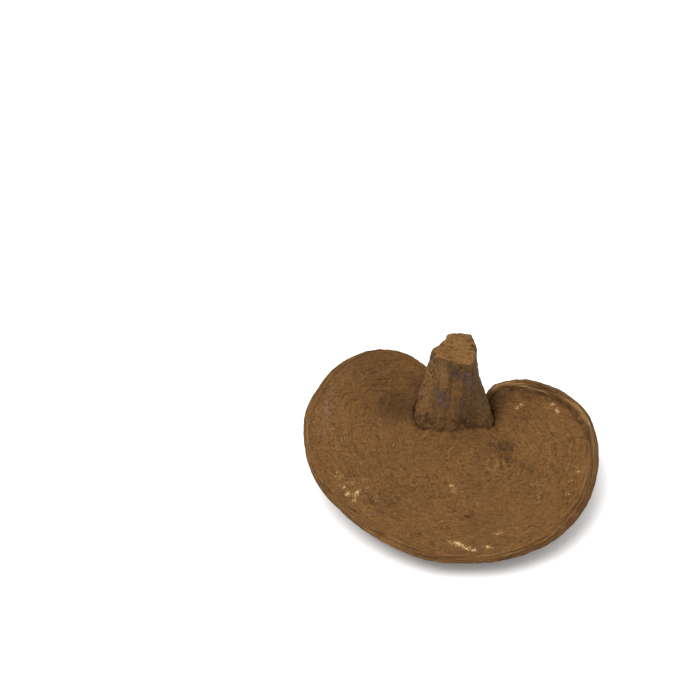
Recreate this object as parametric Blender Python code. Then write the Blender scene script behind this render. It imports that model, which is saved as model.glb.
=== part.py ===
"""Dried reishi mushroom, lying on the crown of its cap with the cut stem standing up.

The cap grew sideways from the stem, so its margin is kidney shaped and the stem rises from the
notch between the two lobes. The powdery pore face is up. It slopes by a few degrees towards the
thin front margin, because the cap is thickest where it joins the stem. The crust is underneath: a
shallow bowl with growth rings, which touches the ground on one flat patch at the crown.

Sizes are in millimetres until a point becomes a vertex. A place on the pore face is given by
across (+X) and along (towards the back, up the slope), and lift is the distance off that face.
"""
import math

import bmesh
import bpy
from mathutils import Vector, noise

MM = 0.001
OBJECT_NAME = "dried_reishi_mushroom"

# How the mushroom lies
FACE_SLOPE = math.radians(12.0)    # the pore face rises towards the back
FACE_HEIGHT = 21.0                 # pore face above the ground, where along is 0
REST_ACROSS = 3.2                  # the crown's flat patch is centred here
REST_BACK = 14.2
REST_BLEND = 1.2                   # the crust eases into the flat patch over this height

# Cap
HEART = (2.0, 18.0)                # where the cap's growth rings are centred, in front of the stem
HEART_DEPTH = 29.5                 # thickness of the cap there
BOWL_POWER = 1.25                  # how fast the cap thins towards its margin
BOWL_REACH = 62.0                  # where the margin is nearer than this, it thins later and faster
BOWL_LATENESS = 0.9                # how much later
DISH = 1.6                         # the margin stands this much above the middle of the pore face

# Margin: across, along, and half the thickness of the rolled edge
MARGIN = [
    (0.0, -44.5, 2.2), (20.0, -43.0, 2.3), (38.0, -36.0, 2.8), (52.3, -23.5, 3.6),
    (61.8, -7.0, 4.2), (65.5, 12.0, 4.6), (63.3, 31.0, 5.5), (53.5, 44.5, 6.3),
    (38.5, 51.5, 6.6), (27.0, 50.8, 6.2), (21.0, 48.4, 5.4), (17.0, 44.6, 4.6),
    (12.0, 48.8, 5.5), (3.0, 51.8, 6.0), (-3.5, 52.6, 5.0), (-7.0, 55.2, 4.2),
    (-11.4, 59.3, 3.4), (-18.5, 64.0, 2.9), (-28.5, 66.4, 2.6), (-40.0, 64.5, 2.5),
    (-52.2, 55.8, 2.4), (-61.8, 40.5, 2.3), (-65.7, 25.0, 2.2), (-63.0, 3.5, 2.2),
    (-55.3, -11.5, 2.2), (-42.0, -26.0, 2.2), (-27.0, -36.5, 2.2), (-12.5, -43.0, 2.2),
]

# Swells and hollows of the pore face: across, along, height and radius
SWELLS = [
    (-38.0, 22.0, 1.0, 24.0),      # left lobe
    (44.0, 6.0, 0.8, 22.0),        # right lobe
    (40.0, 33.0, -2.2, 11.0),      # hollow inside the right lobe's thick rim
    (-24.0, 40.0, -3.0, 12.0),     # hollow to the left of the stem
    (26.0, 12.0, 0.9, 7.0),        # lumps in front of the stem's right side
]
UNEVEN_HEIGHT = 0.5                # broad unevenness all over the pore face
UNEVEN_SIZE = 13.0
CREVICE_WIDTH = 2.6                # the face drops into a crevice round the stem's foot
CREVICE_DEPTH = 2.4
CREVICE_RIGHT = 3.0                # how much deeper it is beside the right lobe
RIGHT_START = (4.0, -12.0)         # it deepens from here on, across and along from the stem's axis
RIGHT_RUN = 12.0

# Growth rings of the crust: share of the way to the margin, height and width
RINGS = [(0.72, -1.8, 0.050), (0.85, 1.2, 0.070), (0.94, -0.6, 0.025)]

# Stem: both outlines are across and back from the stem's axis
STEM_AXIS = (1.5, 34.5)            # across, and along at the pore face
CUT_RISE = 33.6                    # the cut end above the pore face, at the axis
FOOT_SINK = 8.0                    # the foot runs this far into the cap before it is cut away
CUT_OUTLINE = [
    (8.8, 0.5), (8.9, 5.4), (7.6, 9.0), (6.2, 10.6), (-2.6, 10.7), (-4.4, 7.0), (-6.9, 4.9),
    (-8.8, 2.4), (-10.6, -0.2), (-9.3, -3.8), (-6.0, -6.6), (-1.0, -8.9), (4.0, -10.3), (7.4, -8.9),
]
FOOT_OUTLINE = [
    (18.2, -3.0), (14.8, 4.8), (8.5, 10.6), (0.0, 12.8), (-9.0, 10.8), (-15.2, 4.0),
    (-17.2, -4.5), (-13.3, -12.3), (-1.6, -13.8), (4.5, -12.0), (16.5, -10.9),
]
# How far the stem has spread from one outline to the other: share of its height, then spread
SPREAD = [(1.0, 0.0), (0.83, 0.05), (0.62, 0.24), (0.36, 0.62), (0.15, 0.88), (0.0, 1.0)]
# The side on which the stem spreads sooner: bearing, how much sooner, and half its width
LEFT_SIDE = (-2.95, 0.4, 0.7)
# Flutes down the stem: bearing, depth and width
FLUTES = [
    (-2.35, 0.9, 0.16), (-1.85, 0.8, 0.14), (-1.30, 0.9, 0.16), (0.6, 0.8, 0.2), (2.6, 0.8, 0.2),
]

GAP = 0.3                          # clearance between the stem's foot and the cap

# Lattices: steps along each span of an outline, steps round, and rows on each part of the surface
MARGIN_STEPS = 24
OUTLINE_STEPS = 12
CAP_TURNS = 88
PORE_ROWS = 15
ROLL_ROWS = 7
CRUST_ROWS = 15
STEM_TURNS = 36
CUT_ROWS = 3
SIDE_ROWS = 16
FOOT_ROWS = 3

CAP_COLOUR = (0.197, 0.098, 0.035, 1.0)
STEM_COLOUR = (0.130, 0.070, 0.030, 1.0)
POWDER_ROUGHNESS = 0.95


def clear_scene():
    for item in list(bpy.data.objects):
        bpy.data.objects.remove(item, do_unlink=True)


def new_collection(name):
    collection = bpy.data.collections.new(name)
    bpy.context.scene.collection.children.link(collection)
    return collection


def new_material(name, colour, roughness):
    material = bpy.data.materials.new(name)
    material.use_nodes = True
    shader = material.node_tree.nodes["Principled BSDF"]
    shader.inputs["Base Color"].default_value = colour
    shader.inputs["Roughness"].default_value = roughness
    return material


def new_object(name, shape, material, collection):
    mesh = bpy.data.meshes.new(name)
    shape.to_mesh(mesh)
    shape.free()
    mesh.shade_smooth()
    mesh.materials.append(material)
    item = bpy.data.objects.new(name, mesh)
    collection.objects.link(item)
    return item


def bump(distance, width):
    """A soft bump that is 1 at distance 0 and fades over width."""
    return math.exp(-(distance / width) ** 2)


def ease(value):
    value = min(1.0, max(0.0, value))
    return value * value * (3.0 - 2.0 * value)


def closed_curve(points, steps):
    """A smooth closed curve through the points, with the same number of steps in each span."""
    count = len(points)
    curve = []
    for index in range(count):
        before, start, end, after = (points[(index + shift) % count] for shift in (-1, 0, 1, 2))
        for step in range(steps):
            t = step / steps
            curve.append(tuple(
                0.5 * (2.0 * b + (c - a) * t + (2.0 * a - 5.0 * b + 4.0 * c - d) * t * t
                       + (3.0 * b - a - 3.0 * c + d) * t ** 3)
                for a, b, c, d in zip(before, start, end, after)))
    return curve


def even_steps(curve, count):
    """Points at equal distances round a closed curve."""
    lengths = [math.dist(point[:2], curve[index - 1][:2]) for index, point in enumerate(curve)]
    lengths = lengths[1:] + lengths[:1]
    stride = sum(lengths) / count
    points = []
    travelled = 0.0
    for index, length in enumerate(lengths):
        start = curve[index]
        end = curve[(index + 1) % len(curve)]
        while len(points) < count and len(points) * stride < travelled + length:
            share = (len(points) * stride - travelled) / length
            points.append(tuple(a + (b - a) * share for a, b in zip(start, end)))
        travelled += length
    return points


def edge_stations():
    """The rolled edge's centre line, its way out and its half thickness, for each step round."""
    edge = even_steps(closed_curve(MARGIN, MARGIN_STEPS), CAP_TURNS)
    stations = []
    for index, (across, along, half) in enumerate(edge):
        before = edge[index - 1]
        after = edge[(index + 1) % CAP_TURNS]
        out = Vector((after[1] - before[1], before[0] - after[0])).normalized()
        stations.append((Vector((across, along)) - out * half, out, half))
    return stations


def section_reach(outline, bearing):
    """Distance from the stem's axis to a closed outline, in the direction of the bearing."""
    curve = closed_curve(outline, OUTLINE_STEPS)
    bearings = [math.atan2(back, across) for across, back in curve]
    reach = 0.0
    for index, start in enumerate(bearings):
        following = (index + 1) % len(curve)
        span = (bearings[following] - start) % math.tau
        share = ((bearing - start) % math.tau) / span
        if share <= 1.0:
            first = math.hypot(*curve[index])
            last = math.hypot(*curve[following])
            reach = first + (last - first) * share
    return reach


def face_height(across, along, share):
    """Height of the pore face above its own plane. share is 0 at the heart and 1 at the margin."""
    height = DISH * (share ** 2 - 1.0)
    for swell_across, swell_along, rise, radius in SWELLS:
        height += rise * bump(math.dist((across, along), (swell_across, swell_along)), radius)
    unevenness = noise.noise(Vector((across, along, 3.0)) / UNEVEN_SIZE)
    height += UNEVEN_HEIGHT * unevenness * (1.0 - share ** 4)
    from_axis = Vector((across - STEM_AXIS[0], along - STEM_AXIS[1]))
    foot = section_reach(FOOT_OUTLINE, math.atan2(from_axis.y, from_axis.x))
    aside = ease((from_axis.x - RIGHT_START[0]) / RIGHT_RUN)
    behind = ease((from_axis.y - RIGHT_START[1]) / RIGHT_RUN)
    depth = CREVICE_DEPTH + CREVICE_RIGHT * aside * behind
    return height - depth * bump(from_axis.length - foot, CREVICE_WIDTH)


def place(across, along, lift):
    """A point given on the pore face, in the part's own frame."""
    back = along * math.cos(FACE_SLOPE) - lift * math.sin(FACE_SLOPE)
    up = along * math.sin(FACE_SLOPE) + lift * math.cos(FACE_SLOPE)
    return Vector((across - REST_ACROSS, back - REST_BACK, FACE_HEIGHT + up))


def crown_flat(height):
    """Ease heights at and under the ground into the flat patch at height 0."""
    if height > REST_BLEND:
        return height
    if height < -REST_BLEND:
        return 0.0
    return (height + REST_BLEND) ** 2 / (4.0 * REST_BLEND)


def cap_point(station, row):
    """A point on the cap's surface: pore face, rolled edge, then crust, heart to heart."""
    centre, out, half = station
    heart = Vector(HEART)
    length = (centre - heart).length
    power = BOWL_POWER * max(1.0, BOWL_REACH / length) ** BOWL_LATENESS
    steepness = math.atan((HEART_DEPTH - 2.0 * half) * power / length)
    last_turn = math.pi - steepness
    if row <= PORE_ROWS:
        share = row / PORE_ROWS
        spot = heart.lerp(centre, share)
        return place(spot.x, spot.y, face_height(spot.x, spot.y, share))
    rim = face_height(centre.x, centre.y, 1.0)
    if row <= PORE_ROWS + ROLL_ROWS:
        turn = last_turn * (row - PORE_ROWS) / ROLL_ROWS
        spot = centre + out * half * math.sin(turn)
        return place(spot.x, spot.y, rim - half + half * math.cos(turn))
    share = 1.0 - (row - PORE_ROWS - ROLL_ROWS) / CRUST_ROWS
    under_edge = centre + out * half * math.sin(last_turn)
    spot = heart.lerp(under_edge, share)
    edge_depth = half * (1.0 - math.cos(last_turn)) - rim
    depth = HEART_DEPTH + (edge_depth - HEART_DEPTH) * share ** power
    for ring, rise, width in RINGS:
        depth += rise * bump(share - ring, width)
    point = place(spot.x, spot.y, -depth)
    point.z = crown_flat(point.z)
    return point


def cap_shape():
    """A sphere's lattice drawn over the cap, with one pole on the pore face and one at the crown."""
    shape = bmesh.new()
    rows = PORE_ROWS + ROLL_ROWS + CRUST_ROWS
    bmesh.ops.create_uvsphere(shape, u_segments=CAP_TURNS, v_segments=rows, radius=1.0)
    stations = edge_stations()
    for vert in shape.verts:
        turn = round(math.atan2(vert.co.y, vert.co.x) / math.tau * CAP_TURNS) % CAP_TURNS
        row = round(math.acos(max(-1.0, min(1.0, vert.co.z))) / math.pi * rows)
        vert.co = cap_point(stations[turn], row) * MM
    shape.normal_update()
    bmesh.ops.triangulate(shape, faces=shape.faces)
    return shape


def turn_gap(bearing, other):
    """How far one bearing is from another, the short way round."""
    return (bearing - other + math.pi) % math.tau - math.pi


def stem_point(bearing, row):
    """A point on the stem: cut end, fluted side, then the foot's underside inside the cap."""
    axis = place(STEM_AXIS[0], STEM_AXIS[1], 0.0)
    top = axis.z + CUT_RISE
    bottom = axis.z - FOOT_SINK
    share = min(1.0, max(0.0, 1.0 - (row - CUT_ROWS) / SIDE_ROWS))
    spread = 0.0
    for (high, wide_high), (low, wide_low) in zip(SPREAD, SPREAD[1:]):
        if low <= share <= high:
            spread = wide_low + (wide_high - wide_low) * (share - low) / (high - low)
    cut = section_reach(CUT_OUTLINE, bearing)
    foot = section_reach(FOOT_OUTLINE, bearing)
    side, sooner, width = LEFT_SIDE
    spread **= 1.0 - sooner * bump(turn_gap(bearing, side), width)
    reach = cut + (foot - cut) * spread
    for flute, depth, width in FLUTES:
        reach -= depth * bump(turn_gap(bearing, flute), width)
    if row < CUT_ROWS:
        reach *= row / CUT_ROWS
    if row > CUT_ROWS + SIDE_ROWS:
        reach *= (CUT_ROWS + SIDE_ROWS + FOOT_ROWS - row) / FOOT_ROWS
    height = bottom + (top - bottom) * share
    return Vector((axis.x + reach * math.cos(bearing), axis.y + reach * math.sin(bearing), height))


def stem_shape():
    """The same sphere's lattice drawn over the stem, from the cut end down to the foot."""
    shape = bmesh.new()
    rows = CUT_ROWS + SIDE_ROWS + FOOT_ROWS
    bmesh.ops.create_uvsphere(shape, u_segments=STEM_TURNS, v_segments=rows, radius=1.0)
    for vert in shape.verts:
        row = round(math.acos(max(-1.0, min(1.0, vert.co.z))) / math.pi * rows)
        vert.co = stem_point(math.atan2(vert.co.y, vert.co.x), row) * MM
    shape.normal_update()
    return shape


def build_cap(collection):
    material = new_material("cap_powder", CAP_COLOUR, POWDER_ROUGHNESS)
    return new_object("cap", cap_shape(), material, collection)


def build_foot_cutter(collection):
    """The cap, raised by the gap, which shapes the underside of the stem's foot."""
    material = new_material("cutter", CAP_COLOUR, POWDER_ROUGHNESS)
    cutter = new_object("foot_cutter", cap_shape(), material, collection)
    cutter.location = (place(0.0, 0.0, GAP) - place(0.0, 0.0, 0.0)) * MM
    cutter.hide_render = True
    cutter.display_type = "WIRE"
    return cutter


def build_stem(collection, cutter):
    material = new_material("stem_bark", STEM_COLOUR, POWDER_ROUGHNESS)
    stem = new_object("stem", stem_shape(), material, collection)
    fit = stem.modifiers.new("seat_on_cap", "BOOLEAN")
    fit.operation = "DIFFERENCE"
    fit.solver = "EXACT"
    fit.object = cutter
    return stem


def build_mushroom():
    clear_scene()
    parts = new_collection(OBJECT_NAME)
    cutters = new_collection("cutters")
    build_cap(parts)
    build_stem(parts, build_foot_cutter(cutters))


build_mushroom()
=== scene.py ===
"""The looks of a dried reishi mushroom that lies on the crown of its cap.

The cap and the stem are modelled again over the same outlines as the solids, with their finer
relief: growth lines along the rolled margin, growth rings on the crust, lumps, wrinkles and scuffs
of the powdery pore face, the stem's flutes and its torn cut end.

Sizes are in millimetres until a point becomes a vertex. A place on the pore face is given by
across (+X) and along (towards the back, up the slope), and lift is the distance off that face.
"""

import math

import bmesh
import bpy
import numpy as np
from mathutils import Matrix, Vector, noise


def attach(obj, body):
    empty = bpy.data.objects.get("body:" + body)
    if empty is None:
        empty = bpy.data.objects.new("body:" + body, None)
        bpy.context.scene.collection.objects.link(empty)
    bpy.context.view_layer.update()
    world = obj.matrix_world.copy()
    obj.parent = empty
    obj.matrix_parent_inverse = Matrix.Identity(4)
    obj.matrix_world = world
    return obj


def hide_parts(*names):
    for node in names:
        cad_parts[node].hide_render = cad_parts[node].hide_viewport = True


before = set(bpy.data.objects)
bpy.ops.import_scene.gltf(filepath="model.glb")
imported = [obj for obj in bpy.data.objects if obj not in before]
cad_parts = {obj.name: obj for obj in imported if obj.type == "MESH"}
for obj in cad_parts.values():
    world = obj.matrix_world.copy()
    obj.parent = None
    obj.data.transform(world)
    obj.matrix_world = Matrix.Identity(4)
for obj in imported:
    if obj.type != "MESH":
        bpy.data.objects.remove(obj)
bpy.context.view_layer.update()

MM = 0.001

# How the mushroom lies, as in the solids
FACE_SLOPE = math.radians(12.0)
FACE_HEIGHT = 21.0
REST_ACROSS = 3.2
REST_BACK = 14.2
REST_BLEND = 1.2

# Cap
HEART = np.array((2.0, 18.0))
HEART_DEPTH = 29.5
BOWL_POWER = 1.25
BOWL_REACH = 62.0
BOWL_LATENESS = 0.9
DISH = 1.6

# Margin: across, along, and half the thickness of the rolled edge
MARGIN = [
    (0.0, -44.5, 2.2), (20.0, -43.0, 2.3), (38.0, -36.0, 2.8), (52.3, -23.5, 3.6),
    (61.8, -7.0, 4.2), (65.5, 12.0, 4.6), (63.3, 31.0, 5.5), (53.5, 44.5, 6.3),
    (38.5, 51.5, 6.6), (27.0, 50.8, 6.2), (21.0, 48.4, 5.4), (17.0, 44.6, 4.6),
    (12.0, 48.8, 5.5), (3.0, 51.8, 6.0), (-3.5, 52.6, 5.0), (-7.0, 55.2, 4.2),
    (-11.4, 59.3, 3.4), (-18.5, 64.0, 2.9), (-28.5, 66.4, 2.6), (-40.0, 64.5, 2.5),
    (-52.2, 55.8, 2.4), (-61.8, 40.5, 2.3), (-65.7, 25.0, 2.2), (-63.0, 3.5, 2.2),
    (-55.3, -11.5, 2.2), (-42.0, -26.0, 2.2), (-27.0, -36.5, 2.2), (-12.5, -43.0, 2.2),
]

# Swells and hollows of the pore face: across, along, radius and height
SWELLS = [
    (-38.0, 22.0, 24.0, 1.0),      # left lobe
    (44.0, 6.0, 22.0, 0.8),        # right lobe
    (40.0, 33.0, 11.0, -2.2),      # hollow inside the right lobe's thick rim
    (-24.0, 40.0, 12.0, -3.0),     # hollow to the left of the stem
    (26.0, 12.0, 7.0, 0.9),        # lumps in front of the stem's right side
]
UNEVEN_HEIGHT = 0.5
UNEVEN_SIZE = 13.0
CREVICE_WIDTH = 2.6
CREVICE_DEPTH = 2.4
CREVICE_RIGHT = 3.0            # how much deeper it is beside the right lobe
RIGHT_START = (5.5, 22.5)      # where it starts to deepen, across and along
RIGHT_RUN = 12.0               # and over how far it does

# Growth rings of the crust: share of the way to the margin, height and width
RINGS = [(0.72, -1.8, 0.050), (0.85, 1.2, 0.070), (0.94, -0.6, 0.025)]

# Stem
STEM_AXIS = (1.5, 34.5)
CUT_RISE = 33.6
FOOT_SINK = 8.0
CUT_OUTLINE = [
    (8.8, 0.5), (8.9, 5.4), (7.6, 9.0), (6.2, 10.6), (-2.6, 10.7), (-4.4, 7.0), (-6.9, 4.9),
    (-8.8, 2.4), (-10.6, -0.2), (-9.3, -3.8), (-6.0, -6.6), (-1.0, -8.9), (4.0, -10.3), (7.4, -8.9),
]
FOOT_OUTLINE = [
    (18.2, -3.0), (14.8, 4.8), (8.5, 10.6), (0.0, 12.8), (-9.0, 10.8), (-15.2, 4.0),
    (-17.2, -4.5), (-13.3, -12.3), (-1.6, -13.8), (4.5, -12.0), (16.5, -10.9),
]
SPREAD = [(1.0, 0.0), (0.83, 0.05), (0.62, 0.24), (0.36, 0.62), (0.15, 0.88), (0.0, 1.0)]
LEFT_SIDE = (-2.95, 0.4, 0.7)     # spreads sooner here: bearing, how much sooner, and half width
FLUTES = [(-2.35, 0.9, 0.16), (-1.85, 0.8, 0.14), (-1.3, 0.9, 0.16), (0.6, 0.8, 0.2), (2.6, 0.8, 0.2)]
FLUTE_SHARE = 0.6      # powder fills the flutes to this share of their depth

# Fine lattices: steps along each span of an outline, steps round, rows on each part of the
# surface, and how much the rows of the pore face crowd towards the margin
MARGIN_STEPS = 24
OUTLINE_STEPS = 12
CAP_TURNS = 520
PORE_ROWS = 110
ROLL_ROWS = 34
CRUST_ROWS = 46
ROW_CROWDING = 0.3
STEM_TURNS = 280
CUT_ROWS = 36
SIDE_ROWS = 122
FOOT_ROWS = 4
POLE_ROWS = 3          # the relief fades out over these rows round the top pole
GROWTH_RADIUS = 60.0   # about how far the margin is from the heart

# Lines along the margin: distance past the top of the rolled edge, height and width
THIN_LINES = [
    (-4.4, -0.07, 0.5), (-2.6, 0.07, 0.6), (-1.3, -0.12, 0.45), (0.0, 0.13, 0.4), (0.8, -0.3, 0.25),
    (1.7, 0.12, 0.4), (2.7, -0.24, 0.26), (3.9, -0.2, 0.3), (5.2, -0.22, 0.35),
]
THICK_LINES = [
    (1.7, -0.45, 0.32), (2.6, 0.26, 0.45), (3.5, -0.5, 0.34), (4.5, 0.2, 0.45),
    (5.4, -0.5, 0.36), (7.4, -0.4, 0.45), (9.4, -0.42, 0.5), (11.8, -0.34, 0.6), (14.0, -0.3, 0.6),
]

# The right lobe's thick rim: the half thickness at which an edge starts to count as thick, and how
# much more it takes. Inside its crest the pore face drops by WALL_DROP over WALL_RUN.
THICK_FROM = 4.1
THICK_RUN = 1.3
WALL_DROP = 1.7
WALL_RUN = 2.6
LIP_HEIGHT = 0.45
LIP_WIDTH = 0.7

# The crest: bearing from the heart, and distance past the top of the rolled edge
CREST = [
    (-0.6, 3.0), (-0.14, 2.9), (0.0, 2.7), (0.11, 2.0), (0.16, 0.9), (0.31, 0.5),
    (0.47, -0.3), (0.64, -1.7), (0.74, 0.0), (0.83, 1.3),
]

OVAL_FADE = 0.62       # how fast an oval mark fades past its half width

# Scuffs where the powder is rubbed off: across, along, half width, half length, lean and strength
SCUFFS = [
    (-47.6, -8.5, 2.1, 1.2, -0.1, 1.0), (-45.5, -11.9, 1.7, 1.3, 0.0, 1.15),
    (-42.6, -11.2, 2.3, 2.2, 0.4, 1.05), (-43.0, -15.4, 1.4, 1.9, 0.0, 0.85),
    (-44.0, -5.9, 2.4, 1.4, 0.0, 0.62), (-49.8, -3.2, 2.6, 2.4, 0.0, 0.48),
    (-38.2, -4.7, 1.8, 1.8, 0.0, 0.42), (-36.4, -8.7, 2.0, 1.3, 0.0, 0.42),
    (-33.2, -14.2, 1.8, 2.0, 0.0, 0.5),
    (0.6, -36.6, 4.2, 1.4, -0.25, 1.0), (5.2, -38.7, 3.8, 1.3, -0.3, 1.1),
    (13.4, -38.0, 2.5, 1.1, -0.2, 0.85), (18.8, -30.9, 3.4, 1.5, 0.1, 0.62),
    (-0.7, -6.8, 1.3, 0.9, 0.0, 1.1), (0.7, -9.2, 1.4, 1.6, 0.0, 0.9),
    (31.5, 35.4, 2.2, 1.3, 0.6, 0.8), (44.6, 34.7, 2.6, 0.9, -0.2, 0.72),
    (46.6, 36.2, 1.4, 1.2, 0.0, 0.9), (48.5, 32.4, 1.0, 2.4, -0.1, 1.05),
    (-30.5, 23.9, 3.0, 0.35, -0.25, 0.4), (54.6, -1.2, 2.6, 1.6, 0.3, 0.45),
    (51.0, -6.0, 2.2, 1.4, 0.0, 0.38), (49.6, -12.2, 1.3, 1.6, 0.0, 0.45),
    (-35.2, 10.6, 0.8, 0.9, 0.0, 0.9), (-22.4, 1.4, 0.7, 0.7, 0.0, 0.7), (17.8, 1.6, 1.6, 1.1, 0.0, 0.4),
]

# Greyish bloom on the left lobe, given in the same way
BLOOMS = [
    (-55.2, 32.0, 2.6, 7.0, 0.0, 1.0), (-57.4, 20.5, 2.0, 4.0, 0.0, 0.7), (-53.0, 41.5, 2.2, 4.0, 0.0, 0.8),
    (-47.2, 49.0, 3.6, 2.6, 0.0, 0.6), (-45.5, 55.0, 3.0, 2.0, 0.0, 0.6), (-36.6, -22.2, 2.2, 1.2, 0.0, 0.9),
]

# Painted shade in the hollows, in the crevice by the notch and in small holes: across, along, radius and
# strength
HOLLOW_SHADES = [
    (-23.0, 36.0, 10.5, 1.2), (-14.0, 46.0, 8.0, 1.0), (-34.0, 54.0, 15.0, 0.65), (19.5, 38.5, 5.0, 1.3),
    (23.5, 12.4, 4.8, 0.7), (37.0, 41.5, 4.5, 0.45), (50.0, 35.5, 4.5, 0.45), (-15.2, -31.8, 0.7, 1.6),
    (-18.5, -33.2, 1.6, 0.5), (29.8, 2.6, 0.9, 0.35), (20.3, 24.7, 1.3, 1.5), (-27.5, -17.0, 5.0, 0.3),
    (27.0, 42.0, 4.5, 0.55), (52.0, -14.0, 7.0, 0.2), (21.6, 33.5, 3.2, 1.0), (20.6, 28.0, 2.0, 1.3),
    (23.0, 39.5, 3.4, 1.1), (8.5, -27.8, 2.6, 0.35), (17.0, 14.6, 2.4, 0.35), (27.0, 10.5, 2.0, 0.4),
]

SCUFF_DEPTH = 0.1
CRACK_DEPTH = 0.32
CRACK_WIDTH = 0.46

# Hairline cracks in the powder: strength, then points on the pore face
CRACKS = [
    (1.0, [(-28.5, -18.4), (-25.4, -15.9), (-23.0, -14.6)]),
    (0.5, [(-35.9, -14.4), (-32.4, -16.9), (-28.5, -18.4)]),
    (0.5, [(-23.0, -14.6), (-20.0, -12.9), (-17.4, -13.2)]),
    (0.8, [(29.4, 3.4), (32.0, 2.2), (34.8, 0.3)]),
    (0.5, [(22.0, 6.4), (25.5, 5.0), (29.3, 5.4)]),
    (0.7, [(17.1, 14.6), (20.5, 12.3), (23.5, 11.2), (26.9, 10.3)]),
    (0.6, [(22.0, 14.9), (25.1, 14.4), (28.6, 13.3)]),
    (0.6, [(20.5, 9.6), (23.0, 8.7), (25.6, 9.4)]),
    (0.35, [(21.9, 4.6), (22.3, 0.8), (22.7, -2.4)]),
    (0.5, [(14.1, 6.5), (15.7, 7.6), (18.1, 6.6)]),
    (0.7, [(3.6, -23.7), (5.9, -22.8)]),
    (0.4, [(-50.0, -14.6), (-46.5, -18.0), (-41.0, -22.0)]),
]

# A knob with a ring of folded powder round it
KNOB = (19.6, 3.7)
KNOB_RADIUS = 2.3

# A small tongue of pore flesh in front of the stem's foot
TONGUE = (4.5, 22.2)
TONGUE_STRETCH = 2.2
TONGUE_HEIGHT = 0.7

# Where wrinkles crowd: across, along and radius
ROUGH_SPOT = (25.0, 10.5, 7.5)
BY_FOOT = (4.0, 20.0, 14.0)

# Noise of the relief: height, size of its lumps and seed
PORE_LUMPS = [(0.22, 6.5, 1.0), (0.15, 2.6, 2.0), (0.1, 1.3, 3.0)]
PORE_SWELLS = [(0.55, 19.0, 62.0)]
EDGE_SWAY = [(0.5, 14.0, 4.0), (0.3, 4.0, 5.0)]
CREST_SWAY = [(0.5, 9.0, 24.0), (0.25, 2.6, 25.0)]
WALL_ROUGHNESS = [(0.3, 2.2, 71.0), (0.22, 1.1, 72.0)]
RING_WANDER = [(0.018, 22.0, 11.0), (0.006, 6.0, 12.0)]
CREVICE_ROUGHNESS = [(0.5, 3.6, 64.0), (0.5, 2.0, 21.0), (0.4, 1.0, 22.0)]
STEM_KNOBS = [(0.3, 5.0, 33.0), (0.12, 1.6, 34.0)]
FOOT_LUMPS = [(0.7, 3.4, 65.0), (0.4, 1.8, 36.0), (0.4, 0.9, 37.0)]
EDGE_CHIPS = [(0.6, 3.2, 38.0), (0.22, 1.1, 39.0)]
CUT_ROUGHNESS = [(0.5, 4.5, 43.0), (0.16, 0.9, 44.0)]

# Marks on the stem. Strips that flake: bearing, strength and half angle. The others have a place
# (bearing and height) and a reach (half angle and half height).
FLAKY_STRIPS = [(-2.86, 1.0, 0.28), (0.35, 0.4, 0.3)]
SLIT = (-2.46, 3.4, 0.03, 1.5)
NICKED = (-1.38, 28.6, 0.5, 3.2)
CRUMBS = (-1.1, 0.6, 0.28, 3.2)

# Holes in the cut: across and back from the stem's axis, radius and strength
GOUGES = [(7.4, 2.8, 0.55, 1.0), (8.7, -0.2, 0.65, 1.0)]
GOUGE_DEPTH = 0.9

# Dark lacquer that shows through the stem's powder: bearing, height, half angle, half height, strength
LACQUER = [
    (-2.38, 16.5, 0.16, 3.6, 1.0), (-2.13, 13.4, 0.24, 4.8, 1.3), (-1.93, 10.0, 0.17, 3.0, 0.9),
    (-1.12, 26.0, 0.26, 7.5, 1.2), (-0.95, 18.5, 0.3, 5.5, 1.1), (-1.55, 27.6, 0.4, 2.6, 1.1),
    (-1.9, 31.2, 0.4, 2.2, 1.0), (-2.85, 32.2, 0.34, 2.0, 1.2), (0.1, 13.0, 0.4, 6.0, 0.8),
    (-1.22, 13.5, 0.07, 4.5, 1.2), (-1.5, 8.0, 0.5, 3.5, 0.45), (-0.6, 9.0, 0.3, 5.0, 0.7),
    (1.2, 21.0, 0.45, 6.0, 0.8), (2.3, 12.0, 0.35, 6.0, 0.8), (0.8, 6.0, 0.3, 3.0, 0.6),
]

# Paler and darker powder on the stem, given in the same way
PALE_POWDER = [
    (-2.24, 27.0, 0.36, 7.5, 1.0), (-1.5, 18.5, 0.2, 5.0, 1.0), (-1.68, 8.5, 0.11, 4.5, 0.9),
    (-2.62, 12.0, 0.22, 9.0, 0.8), (-0.75, 3.0, 0.2, 2.5, 0.7),
]
DARK_POWDER = [
    (-1.15, 7.0, 0.5, 8.5, 0.9), (-1.81, 16.5, 0.08, 8.0, 1.0), (-0.45, 14.0, 0.35, 8.0, 0.7),
    (-2.25, 1.5, 0.14, 2.2, 0.9), (-1.3, 24.5, 0.1, 3.5, 0.9), (-1.95, 3.5, 0.35, 3.0, 0.6),
]

# Colours of the powder: the darker and paler grain, then tints laid over it
CAP_GRAIN = ((0.105, 0.047, 0.014), (0.213, 0.101, 0.030))
STEM_GRAIN = ((0.076, 0.035, 0.010), (0.200, 0.097, 0.030))
CUT_GRAIN = ((0.118, 0.054, 0.016), (0.232, 0.115, 0.037))
CRUST_RING = ((0.070, 0.032, 0.011), (0.165, 0.080, 0.027))
SHADE = (0.076, 0.034, 0.011)
# painted shade, laid in low relief, hollows, crevices and seams
PAINTED_SHADE = (0.040, 0.018, 0.006)
# painted shade in the hairline cracks
CRACK_SHADE = (0.030, 0.013, 0.005)
# painted highlight, laid on high relief
RELIEF_HIGHLIGHT = (0.265, 0.142, 0.052)
SPECK = (0.270, 0.145, 0.052)
# pale strands on the thick rim's crest, partly a painted highlight
CREST_HIGHLIGHT = (0.365, 0.205, 0.084)
BARE = (0.640, 0.440, 0.195)
BARE_HALO = (0.280, 0.155, 0.058)
BLUISH_BLOOM = (0.110, 0.082, 0.074)
BLUISH_LACQUER = (0.048, 0.034, 0.026)

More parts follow.
